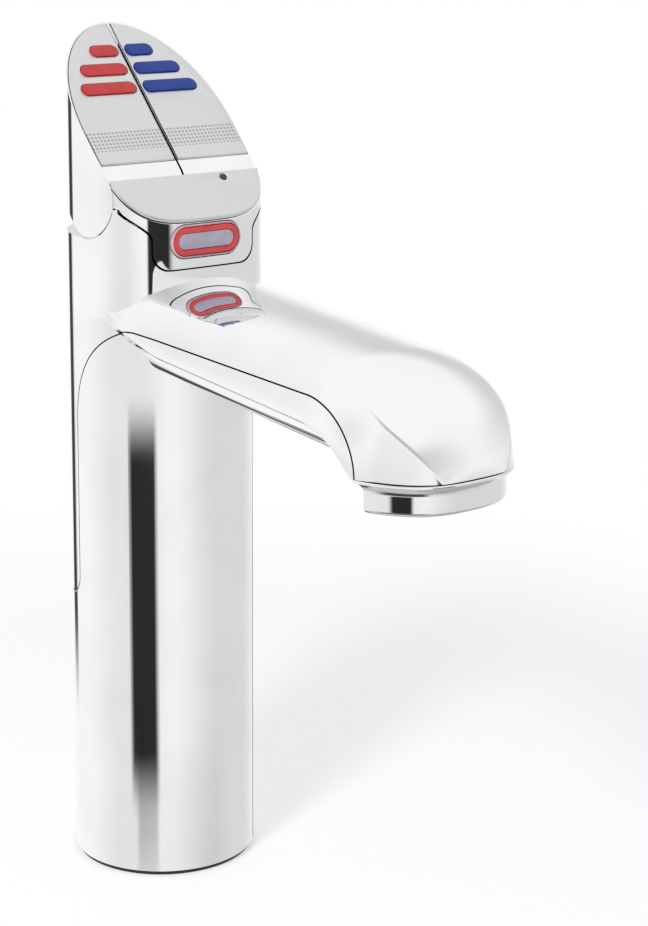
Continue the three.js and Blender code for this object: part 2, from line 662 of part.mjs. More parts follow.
function carrier() {
  const ears = [-1, 1].map((side) => {
    const outline = [...arc(pivotY, pivotZ, earRadius, 0, 180, 14),
      [pivotY - earRadius, carrierBottom], [pivotY + earRadius, carrierBottom]];
    return prismX(outline, side * earX - earThickness / 2, side * earX + earThickness / 2);
  });
  const plate = box(-carrierHalfWidth, carrierHalfWidth, carrierFront, carrierBack,
    carrierBottom, carrierTop);
  const tab = box(-boardHalfWidth + 1, boardHalfWidth - 1, carrierBack - carrierThickness / 2, carrierBack,
    boardTop - tabLength, carrierTop);
  const bores = [-1, 1].map((side) =>
    cylinderZ(screwRadius + gap, carrierBottom - 1, carrierTop + 1, side * carrierScrewX, carrierScrewY, 12));
  add('lever_carrier', union([plate, tab, ...ears])
    .subtract(union([...bores, cylinderX(axleRadius + gap, -farAway, farAway, 20)])), greyPlastic);
  [-1, 1].forEach((side, index) => add(`carrier_screw_${index + 1}`,
    cylinderZ(screwHeadRadius, carrierBottom - gap - screwHeadHeight, carrierBottom - gap,
      side * carrierScrewX, carrierScrewY, 16)
      .add(cylinderZ(screwRadius, carrierBottom - gap - 1, carrierTop + screwReach,
        side * carrierScrewX, carrierScrewY, 12)), steel));
  add('lever_axle', cylinderX(axleRadius, -axleHalfLength, axleHalfLength, 20), steel);
  const boardY = carrierBack + gap;
  add('control_board', box(-boardHalfWidth, boardHalfWidth, boardY, boardY + boardThickness,
    boardTop - boardHeight, boardTop), boardGreen);
}

// A coil round the axle, with a leg that stands on the cradle's floor.
function returnSpring(name, side) {
  const wire = (centre, outward) => arc(0, 0, springWire, 0, 360, 5).slice(0, 5)
    .map(([c, s]) => [centre[0] + side * s, centre[1] + c * outward[0], centre[2] + c * outward[1]]);
  const rings = [wire([side * springStart, pivotY + springRadius, rimFloor + 2 * gap], [1, 0])];
  const steps = springTurns * 8;
  for (let i = 0; i <= steps; i += 1) {
    const angle = radians(360 * i / 8);
    const outward = [Math.cos(angle), Math.sin(angle)];
    rings.push(wire([side * (springStart + springLength * i / steps),
      pivotY + springRadius * outward[0], pivotZ + springRadius * outward[1]], outward));
  }
  add(name, loft(side > 0 ? rings.reverse() : rings), steel);
}

function leverSwitch(name, side) {
  add(name, box(side * leverSwitchX - switchWidth / 2, side * leverSwitchX + switchWidth / 2,
    pivotY - switchWidth / 2, pivotY + switchWidth / 2,
    carrierBottom - gap - switchHeight, carrierBottom - gap), darkPlastic);
}

// ---- Levers ---------------------------------------------------------------------------
function leverProfile() {
  const under = radians(leverUnderPitch);
  const round = arc(pivotY, pivotZ, barrelRadius, 90 + facePitch, 270 + leverUnderPitch, 26);
  const [y, z] = round.at(-1);
  return [...round, [y + farAway, z + farAway * Math.tan(under)], [y + farAway, faceZ(y + farAway)]];
}

// Room for a carrier ear and its spring, whichever way the lever swings.
function earPocket(side) {
  const radius = earRadius + 2 * gap;
  const swing = radians(leverSwing);
  const reach = 2 * barrelRadius;
  const outline = [...arc(pivotY, pivotZ, radius, -leverSwing, 180 + leverSwing, 16),
    [pivotY - radius * Math.cos(swing) - reach * Math.sin(swing), pivotZ - reach * Math.cos(swing)],
    [pivotY + radius * Math.cos(swing) + reach * Math.sin(swing), pivotZ - reach * Math.cos(swing)]];
  const [from, to] = side > 0 ? [earPocketInner, earPocketOuter] : [-earPocketOuter, -earPocketInner];
  return prismX(outline, from, to);
}

function lever(prefix, colour, side, barMaterial) {
  const half = (from, to) => (side > 0 ? [from, to] : [-to, -from]);
  const plan = (inset) => prismZ(headOutline(leverInset + inset), underHead, overTop);
  const [inner, outer] = half(leverSplit / 2, farAway);
  const whole = prismX(leverProfile(), inner, outer).intersect(plan(0));
  const plateSide = (clearance) => {
    const [from, to] = half(leverSplit / 2 + faceRim - clearance, farAway);
    return box(from, to, faceEnd - clearance, farAway, underHead, overTop)
      .intersect(plan(faceRim - clearance));
  };
  const seat = plateSide(gap).subtract(belowFace(faceThickness + gap));
  const [bushFrom, bushTo] = half(bushStart, bushStart + bushLength);
  const axleBore = cylinderX(axleRadius + gap, -axleHalfLength - gap, axleHalfLength + gap, 20);
  const bushBore = cylinderX(bushRadius + gap, bushFrom - gap, bushTo + gap, 20);
  add(`${prefix}_lever`, whole.subtract(seat).subtract(earPocket(side))
    .subtract(axleBore.add(bushBore)), chrome);
  add(`${prefix}_bush`, cylinderX(bushRadius, bushFrom, bushTo, 20)
    .subtract(cylinderX(axleRadius + gap, bushFrom - 1, bushTo + 1, 20)), brass);
  const bars = barLengths.map((length, index) => ({
    x: side * (barInner + length / 2), y: barFirstY - index * barPitchY, length,
  }));
  const bar = ({ x, y, length }, grow, bottom, top) => onFace(
    prism(obround(length + 2 * grow, 2 * (barHalfWidth + grow)), bottom, top), x, y);
  const slots = bars.map((place) => bar(place, gap, -5, 5));
  add(`${prefix}_face`, plateSide(0).intersect(belowFace(0)).subtract(belowFace(faceThickness))
    .subtract(union(slots)), brushed);
  bars.forEach((place, index) => add(`${colour}_bar_${index + 1}`,
    bar(place, 0, -faceThickness, barProud), barMaterial));
}

foot();
tubes.forEach(waterTube);
outlet();
manifold();
fascia();
button();
carrier();
returnSpring('boiling_return_spring', -1);
returnSpring('chilled_return_spring', 1);
leverSwitch('boiling_switch', -1);
leverSwitch('chilled_switch', 1);
lever('boiling', 'red', -1, redPlastic);
lever('chilled', 'blue', 1, bluePlastic);

export default tap;
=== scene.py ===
import math
import bmesh
import bpy
from mathutils import Matrix, Vector
from mathutils.bvhtree import BVHTree
from mathutils.interpolate import poly_3d_calc


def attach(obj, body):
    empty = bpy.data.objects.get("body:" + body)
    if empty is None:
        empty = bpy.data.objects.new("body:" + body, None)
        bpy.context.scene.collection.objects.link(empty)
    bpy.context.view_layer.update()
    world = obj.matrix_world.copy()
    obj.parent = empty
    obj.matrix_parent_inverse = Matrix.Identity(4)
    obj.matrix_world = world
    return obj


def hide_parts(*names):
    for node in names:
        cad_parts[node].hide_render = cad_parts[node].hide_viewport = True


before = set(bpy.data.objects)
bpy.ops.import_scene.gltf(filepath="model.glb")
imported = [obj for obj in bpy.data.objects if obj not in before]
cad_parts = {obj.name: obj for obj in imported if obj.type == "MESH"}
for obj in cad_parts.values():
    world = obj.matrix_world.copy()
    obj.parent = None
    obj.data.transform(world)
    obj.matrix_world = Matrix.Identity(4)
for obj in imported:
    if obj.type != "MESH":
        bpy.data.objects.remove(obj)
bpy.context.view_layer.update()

# ---- Camera ----------------------------------------------------------------------------
# A long lens on a tripod in front of the tap, a little above its levers, to the boiling
# lever's side. The lens is shifted down so that the column's sides stay nearly upright.
camera_place = Vector((-0.4156, -0.5912, 0.3196))
camera_heading, camera_pitch, camera_roll = 0.6867, 0.188, 0.0049
camera_focal_pixels, photo_height = 2243.0, 926
camera_shift, nearest_seen = -0.16, 0.01

camera = bpy.data.objects.new("camera", bpy.data.cameras.new("camera"))
bpy.context.scene.collection.objects.link(camera)
ahead = Vector((math.sin(camera_heading) * math.cos(camera_pitch),
                math.cos(camera_heading) * math.cos(camera_pitch), -math.sin(camera_pitch)))
aside = Vector((math.cos(camera_heading), -math.sin(camera_heading), 0))
upward = aside.cross(ahead)
tilted_aside = aside * math.cos(camera_roll) + upward * math.sin(camera_roll)
tilted_up = upward * math.cos(camera_roll) - aside * math.sin(camera_roll)
turned = Matrix((tilted_aside, tilted_up, -ahead)).transposed()
camera.matrix_world = Matrix.Translation(camera_place) @ turned.to_4x4()
camera.data.lens = camera_focal_pixels * camera.data.sensor_width / photo_height
camera.data.shift_y = camera_shift
camera.data.clip_start = nearest_seen
bpy.context.scene.camera = camera
bpy.context.scene.view_settings.view_transform = "Standard"

# ---- Studio ----------------------------------------------------------------------------
# A white room: a pale floor that keeps the tap's soft shadow, white all round, one soft
# lamp from the left, and black flags beside the camera that polished metal mirrors.
floor_reach, fade_share, floor_half, floor_drop = 0.45, 0.4, 6, 0.0002
floor_grey, floor_lift = (0.62, 0.62, 0.63, 1), 0.5
room_glow, backdrop_glow = 0.55, 1.0
factor, number_a, number_b, colour_a, colour_b = 0, 2, 3, 6, 7      # inputs of a Mix node
# Each flag: compass, half width, softness; lowest, highest, softness; darkness. All but the
# darkness, a share, are in degrees.
flags = [
    (210, 17, 4.0, -22.6, -13.6, 0.9, 0.97),
    (213, 13, 4.0, -24.6, -21.5, 1.2, 0.40),
    (276, 17, 3.0, -11.2, -3, 0.5, 0.97),
    (86, 8, 2.5, -19.5, 40, 1.5, 0.94),
    (48, 9, 4.0, -30, -9, 2.5, 0.6),
    (51, 9, 4.0, -46, -15.5, 1.5, 0.85),
    (215, 40, 12.0, -50, -26, 1.5, 0.90),
    (97, 32, 8.0, -60, -35.5, 1.0, 0.88),
    (0, 181, 1.0, -95, -38, 5.0, 0.40),
    (330, 55, 35.0, -95, 5, 8.0, 0.26),
    (190, 40, 30.0, -60, 0, 8.0, 0.16),
    (280, 40, 25.0, -60, -22, 3.0, 0.12),
    (235, 60, 25.0, 14, 40, 9.0, 0.45),
    (50, 70, 30.0, 8, 30, 9.0, 0.30),
]


def node(tree, kind, **settings):
    made = tree.nodes.new(kind)
    for key, value in settings.items():
        setattr(made, key, value)
    return made


def math_node(tree, operation, first, second=None):
    made = node(tree, "ShaderNodeMath", operation=operation)
    for socket, value in zip(made.inputs, (first, second)):
        if value is None:
            continue
        if isinstance(value, (int, float)):
            socket.default_value = value
        else:
            tree.links.new(value, socket)
    return made.outputs[0]


def soft_step(tree, value, low, high):
    made = node(tree, "ShaderNodeMapRange", interpolation_type="SMOOTHSTEP", clamp=True)
    tree.links.new(value, made.inputs["Value"])
    made.inputs["From Min"].default_value = low
    made.inputs["From Max"].default_value = high
    return made.outputs[0]


def white_room():
    world = bpy.data.worlds.new("white_room")
    world.use_nodes = True
    tree = world.node_tree
    tree.nodes.clear()
    way = node(tree, "ShaderNodeSeparateXYZ")
    tree.links.new(node(tree, "ShaderNodeTexCoord").outputs["Generated"], way.inputs[0])
    compass = math_node(tree, "ARCTAN2", way.outputs["Y"], way.outputs["X"])
    compass = math_node(tree, "MULTIPLY", compass, 180 / math.pi)
    height = math_node(tree, "ARCSINE", way.outputs["Z"])
    height = math_node(tree, "MULTIPLY", height, 180 / math.pi)
    shade = None
    for centre, half, soft, low, high, edge, dark in flags:
        off = math_node(tree, "WRAP", math_node(tree, "SUBTRACT", compass, centre), 180)
        off.node.inputs[2].default_value = -180
        off = math_node(tree, "ABSOLUTE", off)
        across = math_node(tree, "SUBTRACT", 1.0, soft_step(tree, off, half - soft, half + soft))
        above = soft_step(tree, height, low - edge, low + edge)
        below = math_node(tree, "SUBTRACT", 1.0, soft_step(tree, height, high - edge, high + edge))
        mask = math_node(tree, "MULTIPLY", across, math_node(tree, "MULTIPLY", above, below))
        left = math_node(tree, "SUBTRACT", 1.0, math_node(tree, "MULTIPLY", mask, dark))
        shade = left if shade is None else math_node(tree, "MULTIPLY", shade, left)
    path = node(tree, "ShaderNodeLightPath")
    mirrored = node(tree, "ShaderNodeMix", data_type="FLOAT")
    tree.links.new(path.outputs["Is Glossy Ray"], mirrored.inputs[factor])
    mirrored.inputs[number_a].default_value = room_glow
    tree.links.new(shade, mirrored.inputs[number_b])
    seen = node(tree, "ShaderNodeMix", data_type="FLOAT")
    tree.links.new(path.outputs["Is Camera Ray"], seen.inputs[factor])
    tree.links.new(mirrored.outputs[0], seen.inputs[number_a])
    seen.inputs[number_b].default_value = backdrop_glow
    background = node(tree, "ShaderNodeBackground")
    background.inputs["Color"].default_value = (1, 1, 1, 1)
    tree.links.new(seen.outputs[0], background.inputs["Strength"])
    tree.links.new(background.outputs[0], node(tree, "ShaderNodeOutputWorld").inputs[0])
    bpy.context.scene.world = world


def floor_material():
    material = bpy.data.materials.new("pale_floor")
    material.use_nodes = True
    tree = material.node_tree
    tree.nodes.clear()
    place = node(tree, "ShaderNodeNewGeometry").outputs["Position"]
    length = node(tree, "ShaderNodeVectorMath", operation="LENGTH")
    tree.links.new(place, length.inputs[0])
    far = soft_step(tree, length.outputs["Value"], fade_share * floor_reach, floor_reach)
    white = node(tree, "ShaderNodeEmission")
    matte = node(tree, "ShaderNodeBsdfDiffuse")
    matte.inputs["Color"].default_value = floor_grey
    lift = node(tree, "ShaderNodeEmission")
    lift.inputs["Strength"].default_value = floor_lift
    near = node(tree, "ShaderNodeAddShader")
    tree.links.new(matte.outputs[0], near.inputs[0])
    tree.links.new(lift.outputs[0], near.inputs[1])
    mix = node(tree, "ShaderNodeMixShader")
    tree.links.new(far, mix.inputs[0])
    tree.links.new(near.outputs[0], mix.inputs[1])
    tree.links.new(white.outputs[0], mix.inputs[2])
    tree.links.new(mix.outputs[0], node(tree, "ShaderNodeOutputMaterial").inputs[0])
    return material


def studio_floor():
    mesh = bpy.data.meshes.new("floor")
    corners = [(-1, -1), (1, -1), (1, 1), (-1, 1)]
    mesh.from_pydata([(floor_half * x, floor_half * y, 0) for x, y in corners], [], [(0, 1, 2, 3)])
    floor = bpy.data.objects.new("floor", mesh)
    bpy.context.scene.collection.objects.link(floor)
    floor.location.z = -floor_drop
    mesh.materials.append(floor_material())
    floor.visible_glossy = False


def soft_lamp(name, place, aim, size, watts):
    lamp = bpy.data.objects.new(name, bpy.data.lights.new(name, "AREA"))
    lamp.data.shape = "DISK"
    lamp.data.size = size
    lamp.data.energy = watts
    lamp.location = place
    lamp.rotation_mode = "QUATERNION"
    lamp.rotation_quaternion = (Vector(aim) - Vector(place)).to_track_quat("-Z", "Y")
    lamp.visible_glossy = False
    bpy.context.scene.collection.objects.link(lamp)


white_room()
studio_floor()
soft_lamp("key_lamp", place=(-0.95, -0.45, 0.8), aim=(0, 0, 0.1), size=0.3, watts=7)

# ---- Chrome shells ---------------------------------------------------------------------
# The column, head and spout are two polished castings that meet at a fine joint: the lower
# one is the column's front and the spout's belly, the upper one the rest. They are hollow.
MM, weld_distance = 0.001, 1e-7
column_radius, column_wall = 30, 2.6
round_steps, hollow_steps, cradle_steps, corner_steps, inner_steps = 192, 96, 180, 16, 30
seal_thickness, clearance, joint_width, groove_width = 1.2, 0.3, 0.44, 0.5
spout_top_root, spout_top_fall, crown_radius = 197.9, 0.093, 60
head_front, head_squareness, head_steps = 25.3, 3.6, 90
head_floor_depth, head_height, face_pitch = 11.9, 46.8, math.radians(47.1)
head_back_half, head_back_y = 20, 10
head_floor, face_height = spout_top_root - head_floor_depth, spout_top_root + head_height
pivot_y, pivot_depth, barrel_radius = -2.4, 12.74, 12.6
pivot_z = face_height + math.tan(face_pitch) * pivot_y - pivot_depth / math.cos(face_pitch)
rim_floor = pivot_z - barrel_radius - clearance
fascia_edge, roof_thickness, rim_pitch, cradle_play = -13.4, 4, math.radians(1.5), 0.2
spout_half_width, spout_wall, fine = 30, 2.8, 24
nose_start, nose_length, nose_squareness, nose_turn = -110.5, 42.5, 2.7, 86
first_station, station_pitch, station_count = -5, 3.5, 30
nose_root, hollow_root, hollow_fine = -0.5, -2, 8
crease_share, crease_tip_share, crease_turn, crease_run, shoulder_bend = 0.74, 0.86, -120, 20, 1.5
belly_share, belly_tip_share, belly_depth, belly_squareness = 0.7, 0.95, 9, 2.6
flank_depth, flank_root_depth, flank_blend_y, flank_squareness, root_inset = 4, 12, -42, 1.3, 0.6
side_depth, side_low_fall = 21.9, 0.095
side_low_root = spout_top_root - side_depth
droop_start, droop_y, droop_z, droop_limit = -114, 38.5, 33, 0.95
tuck_start, tuck_y, tuck_z = -110, 27, 30
rim_depth, seam_crown_depth = 39.1, 14
spout_rim_z, seam_crown_z = spout_top_root - rim_depth, spout_top_root - seam_crown_depth
seam_y, seam_low, seam_corner = 5, 91, 7
seam_crown_y, seam_rise, arch_steps = -27, 33.4, 40
seam_fall, seam_turn, seam_end_y = 0.06, -108, -132
seam_past_rim, seam_under, seam_front_low = 2, -10, 90
insert_half_width, insert_rise, insert_corner, insert_flare_run = 19.4, 3.9, 6, 4
insert_shoulder_rise, insert_top_half_width, insert_top_rise = 9.7, 27.6, 19.7
insert_depth, insert_lip = 9, 4
insert_bottom = spout_top_root + insert_rise
insert_shoulder, insert_top = insert_bottom + insert_shoulder_rise, insert_bottom + insert_top_rise
insert_lip_z = insert_top - insert_lip
outlet_inset, outlet_back, outlet_wall, outlet_chamfer = 2.9, -128.3, 2.4, 1.2
well_under, well_over, front_overlap, hollow_overlap = 10, 6, 6, 2
ear_x, ear_slot_half, ear_slot_reach = 17, 3.1, 5.2
# How far cutting shapes reach, and how far they run past each other so that no faces meet.
far_away, over_top, under_head, spare = 180, 330, 150, 1


def arc(cx, cy, radius, start, end, steps):
    turns = [math.radians(start + (end - start) * i / steps) for i in range(steps + 1)]
    return [(cx + radius * math.cos(t), cy + radius * math.sin(t)) for t in turns]


# The angles of a quarter turn, both ends included.
def quarter(steps):
    return [math.pi / 2 * i / steps for i in range(steps + 1)]


def power(value, exponent):
    return math.copysign(abs(value) ** exponent, value)


def smooth(value):
    value = min(max(value, 0), 1)
    return value * value * (3 - 2 * value)


def blend(first, last, share):
    return first + (last - first) * share


def face_z(y, depth=0):
    return face_height + math.tan(face_pitch) * y - depth / math.cos(face_pitch)


def solid(name, verts, faces):
    mesh = bpy.data.meshes.new(name)
    mesh.from_pydata([Vector(v) * MM for v in verts], [], faces)
    made = bmesh.new()
    made.from_mesh(mesh)
    bmesh.ops.remove_doubles(made, verts=made.verts, dist=weld_distance)
    bmesh.ops.recalc_face_normals(made, faces=made.faces)
    made.to_mesh(mesh)
    made.free()
    thing = bpy.data.objects.new(name, mesh)
    bpy.context.scene.collection.objects.link(thing)
    return thing


def prism(name, outline, low, high, plane="XY"):
    place = {"XY": lambda a, b, c: (a, b, c), "YZ": lambda a, b, c: (c, a, b),
             "XZ": lambda a, b, c: (a, c, b)}[plane]
    count = len(outline)
    verts = [place(a, b, c) for c in (low, high) for a, b in outline]
    sides = [(i, (i + 1) % count, count + (i + 1) % count, count + i) for i in range(count)]
    return solid(name, verts, sides + [tuple(range(count)), tuple(range(count, 2 * count))])


def block(name, x0, x1, y0, y1, z0, z1):
    return prism(name, [(x0, y0), (x1, y0), (x1, y1), (x0, y1)], z0, z1)


def drum(name, radius, x0, x1, steps):
    return prism(name, arc(pivot_y, pivot_z, radius, 0, 360, steps)[:-1], x0, x1, "YZ")


def loft(name, rings):
    count = len(rings[0])
    verts = [point for ring in rings for point in ring]
    faces = []
    for i in range(len(rings) - 1):
        for j in range(count):
            k = (j + 1) % count
            faces.append((i * count + j, i * count + k, (i + 1) * count + k, (i + 1) * count + j))
    last = (len(rings) - 1) * count
    faces += [tuple(range(count)), tuple(range(last, last + count))]
    return solid(name, verts, faces)


def applied(body):
    view = bpy.context.evaluated_depsgraph_get()
    mesh = bpy.data.meshes.new_from_object(body.evaluated_get(view))
    body.modifiers.clear()
    old, body.data = body.data, mesh
    bpy.data.meshes.remove(old)
    return body


def cut(body, operation, tool, keep=False):
    change = body.modifiers.new("cut", "BOOLEAN")
    change.operation, change.solver, change.object = operation, "EXACT", tool
    applied(body)
    if not keep:
        bpy.data.objects.remove(tool)
    return body


def copy_of(thing, name):
    made = bpy.data.objects.new(name, thing.data.copy())
    bpy.context.scene.collection.objects.link(made)
    return made


def below_face(name, depth=0):
    return prism(name, [(-far_away, 0), (far_away, 0), (far_away, face_z(far_away, depth)),
                        (-far_away, face_z(-far_away, depth))], -far_away, far_away, "YZ")


def head_outline(inset, steps=head_steps):
    radius, front = column_radius - inset, head_front - inset
    points = arc(0, 0, radius, 0, 180, steps)
    for i in range(1, steps):
        turn = math.pi * (1 + i / steps)
        points.append((radius * power(math.cos(turn), 2 / head_squareness),
                       -front * abs(math.sin(turn)) ** (2 / head_squareness)))
    return points


def nose_half_width(y, inset):
    along = min(max((nose_start - y) / (nose_length - inset), 0), 1)
    root = root_inset * (1 - smooth(y / flank_blend_y))
    half = spout_half_width - inset - root
    return half * (1 - along ** nose_squareness) ** (1 / nose_squareness)


def crown_z(y, inset):
    drooped = min(max((droop_start - y) / (droop_y - inset), 0), 1)
    return (spout_top_root - inset + spout_top_fall * (y + head_front)
            - (droop_z - inset) * (1 - math.sqrt(1 - drooped ** 2)))


def crown_steepness(y):
    drooped = min(max((droop_start - y) / droop_y, 0), droop_limit)
    return math.hypot(1, (droop_z / droop_y) * drooped / math.sqrt(1 - drooped ** 2))


def spout_ring(y, inset, fine):
    shoulder = nose_half_width(y, inset)
    tucked = min(max((tuck_start - y) / tuck_y, 0), 1)
    belly = shoulder * blend(belly_share, belly_tip_share, smooth(tucked))
    low = (side_low_root + side_low_fall * (y + head_front)
           - tuck_z * (1 - math.sqrt(1 - tucked ** 2)))
    depth = blend(flank_root_depth, flank_depth, smooth(y / flank_blend_y))
    middle = low + depth
    turned = smooth((crease_turn - y) / crease_run)
    crease = shoulder * blend(crease_share, crease_tip_share, turned)
    drop = crown_steepness(y)

    def top_z(x):
        return crown_z(y, inset) - drop * (crown_radius - math.sqrt(crown_radius ** 2 - x ** 2))

    half = [(blend(shoulder, crease, (i / fine) ** shoulder_bend),
             blend(middle, top_z(crease), i / fine)) for i in range(fine)]
    half += [(crease * (1 - i / fine), top_z(crease * (1 - i / fine))) for i in range(fine)]
    ring = half + [(0, top_z(0))] + [(-x, z) for x, z in reversed(half[1:])] + [(-shoulder, middle)]
    under = [(blend(belly, shoulder, math.cos(t) ** (2 / flank_squareness)),
              middle - depth * math.sin(t) ** (2 / flank_squareness))
             for t in quarter(fine // 2)[1:-1]]
    ring += [(-x, z) for x, z in under]
    for i in range(2 * fine):
        turn = math.pi * (1 + i / (2 * fine))
        ring.append((belly * power(math.cos(turn), 2 / belly_squareness),
                     low + (belly_depth - inset) * power(math.sin(turn), 2 / belly_squareness)))
    ring += [(belly, low)] + list(reversed(under))
    return [(x, y, z) for x, z in ring]


def spout(name, inset, root, fine):
    stations = [root] + [first_station - station_pitch * i for i in range(station_count)]
    steps = 3 * fine
    stations += [nose_start - (nose_length - inset) * math.sin(math.radians(nose_turn * i / steps))
                 for i in range(steps + 1)]
    return loft(name, [spout_ring(y, inset, fine) for y in stations])


def outlet_outline(inset, steps):
    back = outlet_back - inset
    half_width, length = spout_half_width - inset, nose_length - inset
    reach = (nose_start - back + outlet_chamfer) / length
    start = math.asin(reach ** (nose_squareness / 2))
    points = []
    for i in range(steps):
        turn = math.pi + start + (math.pi - 2 * start) * i / (steps - 1)
        points.append((half_width * power(math.cos(turn), 2 / nose_squareness),
                       nose_start - length * abs(math.sin(turn)) ** (2 / nose_squareness)))
    edge = abs(points[0][0])
    return points + [(edge - outlet_chamfer, back), (outlet_chamfer - edge, back)]


def seam_outline(offset, lower):
    line = [(far_away, seam_low - offset)]
    line += arc(seam_y + seam_corner, seam_low + seam_corner, seam_corner + offset, -90, -180,
                corner_steps)
    run, spring_z = seam_y - seam_crown_y, seam_crown_z - seam_rise
    line += [(seam_crown_y + (run - offset) * math.cos(turn),
              spring_z + (seam_rise - offset) * math.sin(turn)) for turn in quarter(arch_steps)]
    turn_z = seam_crown_z - offset + seam_fall * (seam_turn - seam_crown_y)
    fall = turn_z - spout_rim_z + seam_past_rim
    line += [(seam_turn - (seam_turn - seam_end_y - offset) * math.sin(turn),
              turn_z - fall * (1 - math.cos(turn))) for turn in quarter(fine)]
    end_y = line[-1][0]
    if lower:
        return line + [(end_y, seam_under), (far_away, seam_under)]
    return line + [(end_y, seam_front_low), (-far_away, seam_front_low), (-far_away, over_top),
                   (far_away, over_top)]


def insert_outline(grow):
    side, low = insert_half_width + grow, insert_bottom - grow
    half = arc(side - insert_corner, low + insert_corner, insert_corner, -90, 0, fine)
    for i in range(fine + 1):
        bend = (1 - math.cos(math.pi * i / fine)) / 2
        half.append((side + (insert_top_half_width - insert_half_width) * bend,
                     insert_shoulder - grow + (insert_top - insert_shoulder) * i / fine))
    half += [(side + far_away, insert_top + insert_flare_run), (side + far_away, over_top)]
    return half + [(-x, z) for x, z in reversed(half)]


def insert_room(grow):
    made = prism("insert_room", insert_outline(grow), -far_away, pivot_y, "XZ")
    back, lip = -head_front + insert_depth + grow, insert_lip_z - grow
    stepped = [(-far_away - spare, under_head), (back, under_head), (back, lip), (spare, lip),
               (spare, over_top + spare), (-far_away - spare, over_top + spare)]
    return cut(made, "INTERSECT", prism("stepped", stepped, -2 * far_away, 2 * far_away, "YZ"))


def lever_room():
    cradle = drum("cradle", barrel_radius + clearance + cradle_play, -far_away, far_away,
                  cradle_steps)
    behind = [(pivot_y, rim_floor),
              (pivot_y + far_away, rim_floor + math.tan(rim_pitch) * far_away),
              (pivot_y + far_away, over_top), (pivot_y, over_top)]
    cut(cradle, "UNION", prism("behind", behind, -far_away - spare, far_away + spare, "YZ"))
    above = [(fascia_edge, pivot_z), (pivot_y + spare, pivot_z),
             (pivot_y + spare, over_top + spare), (fascia_edge, over_top + spare)]
    return cut(cradle, "UNION", prism("above", above, -far_away - 2 * spare, far_away + 2 * spare,
                                      "YZ"))


# The walls of an uncut shape, without its end caps, and the way that it faces at each point.
def wall_directions(thing, keep=lambda centre: True, turn=lambda place, way: way):
    walls = copy_of(thing, "walls")
    made = bmesh.new()
    made.from_mesh(walls.data)
    gone = [f for f in made.faces if len(f.verts) > 4 or not keep(f.calc_center_median() / MM)]
    bmesh.ops.delete(made, geom=gone, context="FACES")
    made.normal_update()
    places = [v.co.copy() for v in made.verts]
    ways = [turn(v.co / MM, v.normal.copy()) for v in made.verts]
    faces = [tuple(v.index for v in f.verts) for f in made.faces]
    made.free()
    bpy.data.objects.remove(walls)
    return BVHTree.FromPolygons(places, faces), faces, places, ways


# Gives each corner on a polished outer surface the direction of the true, uncut surface,
# so that reflections run smoothly up to every cut.
def true_normals(piece, surfaces, reach=0.00012, alike=0.9):
    mesh = piece.data
    mesh.polygons.foreach_set("use_smooth", [True] * len(mesh.polygons))
    out = [None] * len(mesh.loops)
    for face in mesh.polygons:
        best = None
        for surface in surfaces:
            spot, way, _, gap = surface[0].find_nearest(face.center)
            if spot is not None and gap < reach and way.dot(face.normal) > alike:
                if best is None or gap < best[0]:
                    best = (gap, surface)
        for loop in face.loop_indices:
            out[loop] = face.normal.copy()
            if best is None:
                continue
            tree, faces, places, ways = best[1]
            spot, _, index, gap = tree.find_nearest(mesh.vertices[mesh.loops[loop].vertex_index].co)
            if gap > reach:
                continue
            weights = poly_3d_calc([places[c] for c in faces[index]], spot)
            turned = Vector((0, 0, 0))
            for corner, weight in zip(faces[index], weights):
                turned += ways[corner] * weight
            if turned.length > 0 and turned.dot(face.normal) > 0:
                out[loop] = turned.normalized()
    mesh.normals_split_custom_set(out)


# The spout's sides are polished into the column: near it they face the way the column does.
def polished_in(place, way):
    blend_reach, steepest, steep_blend, root_under, root_blend = 9, 0.85, 0.5, 2, 5
    out = Vector((place.x, place.y, 0))
    near = 1 - smooth((out.length - column_radius) / blend_reach)
    upright = smooth((steepest - abs(way.z)) / steep_blend)
    upright *= smooth((place.z - side_low_root + root_under) / root_blend)
    return way.lerp(out.normalized(), near * upright).normalized()


# Rounds the edges of a thin pressed plate.
def rolled(piece, width):
    segments, sharpest = 2, math.radians(38)
    change = piece.modifiers.new("rolled_edge", "BEVEL")
    change.width, change.segments = width * MM, segments
    change.limit_method, change.angle_limit = "ANGLE", sharpest
    change.use_clamp_overlap = False
    return applied(piece)


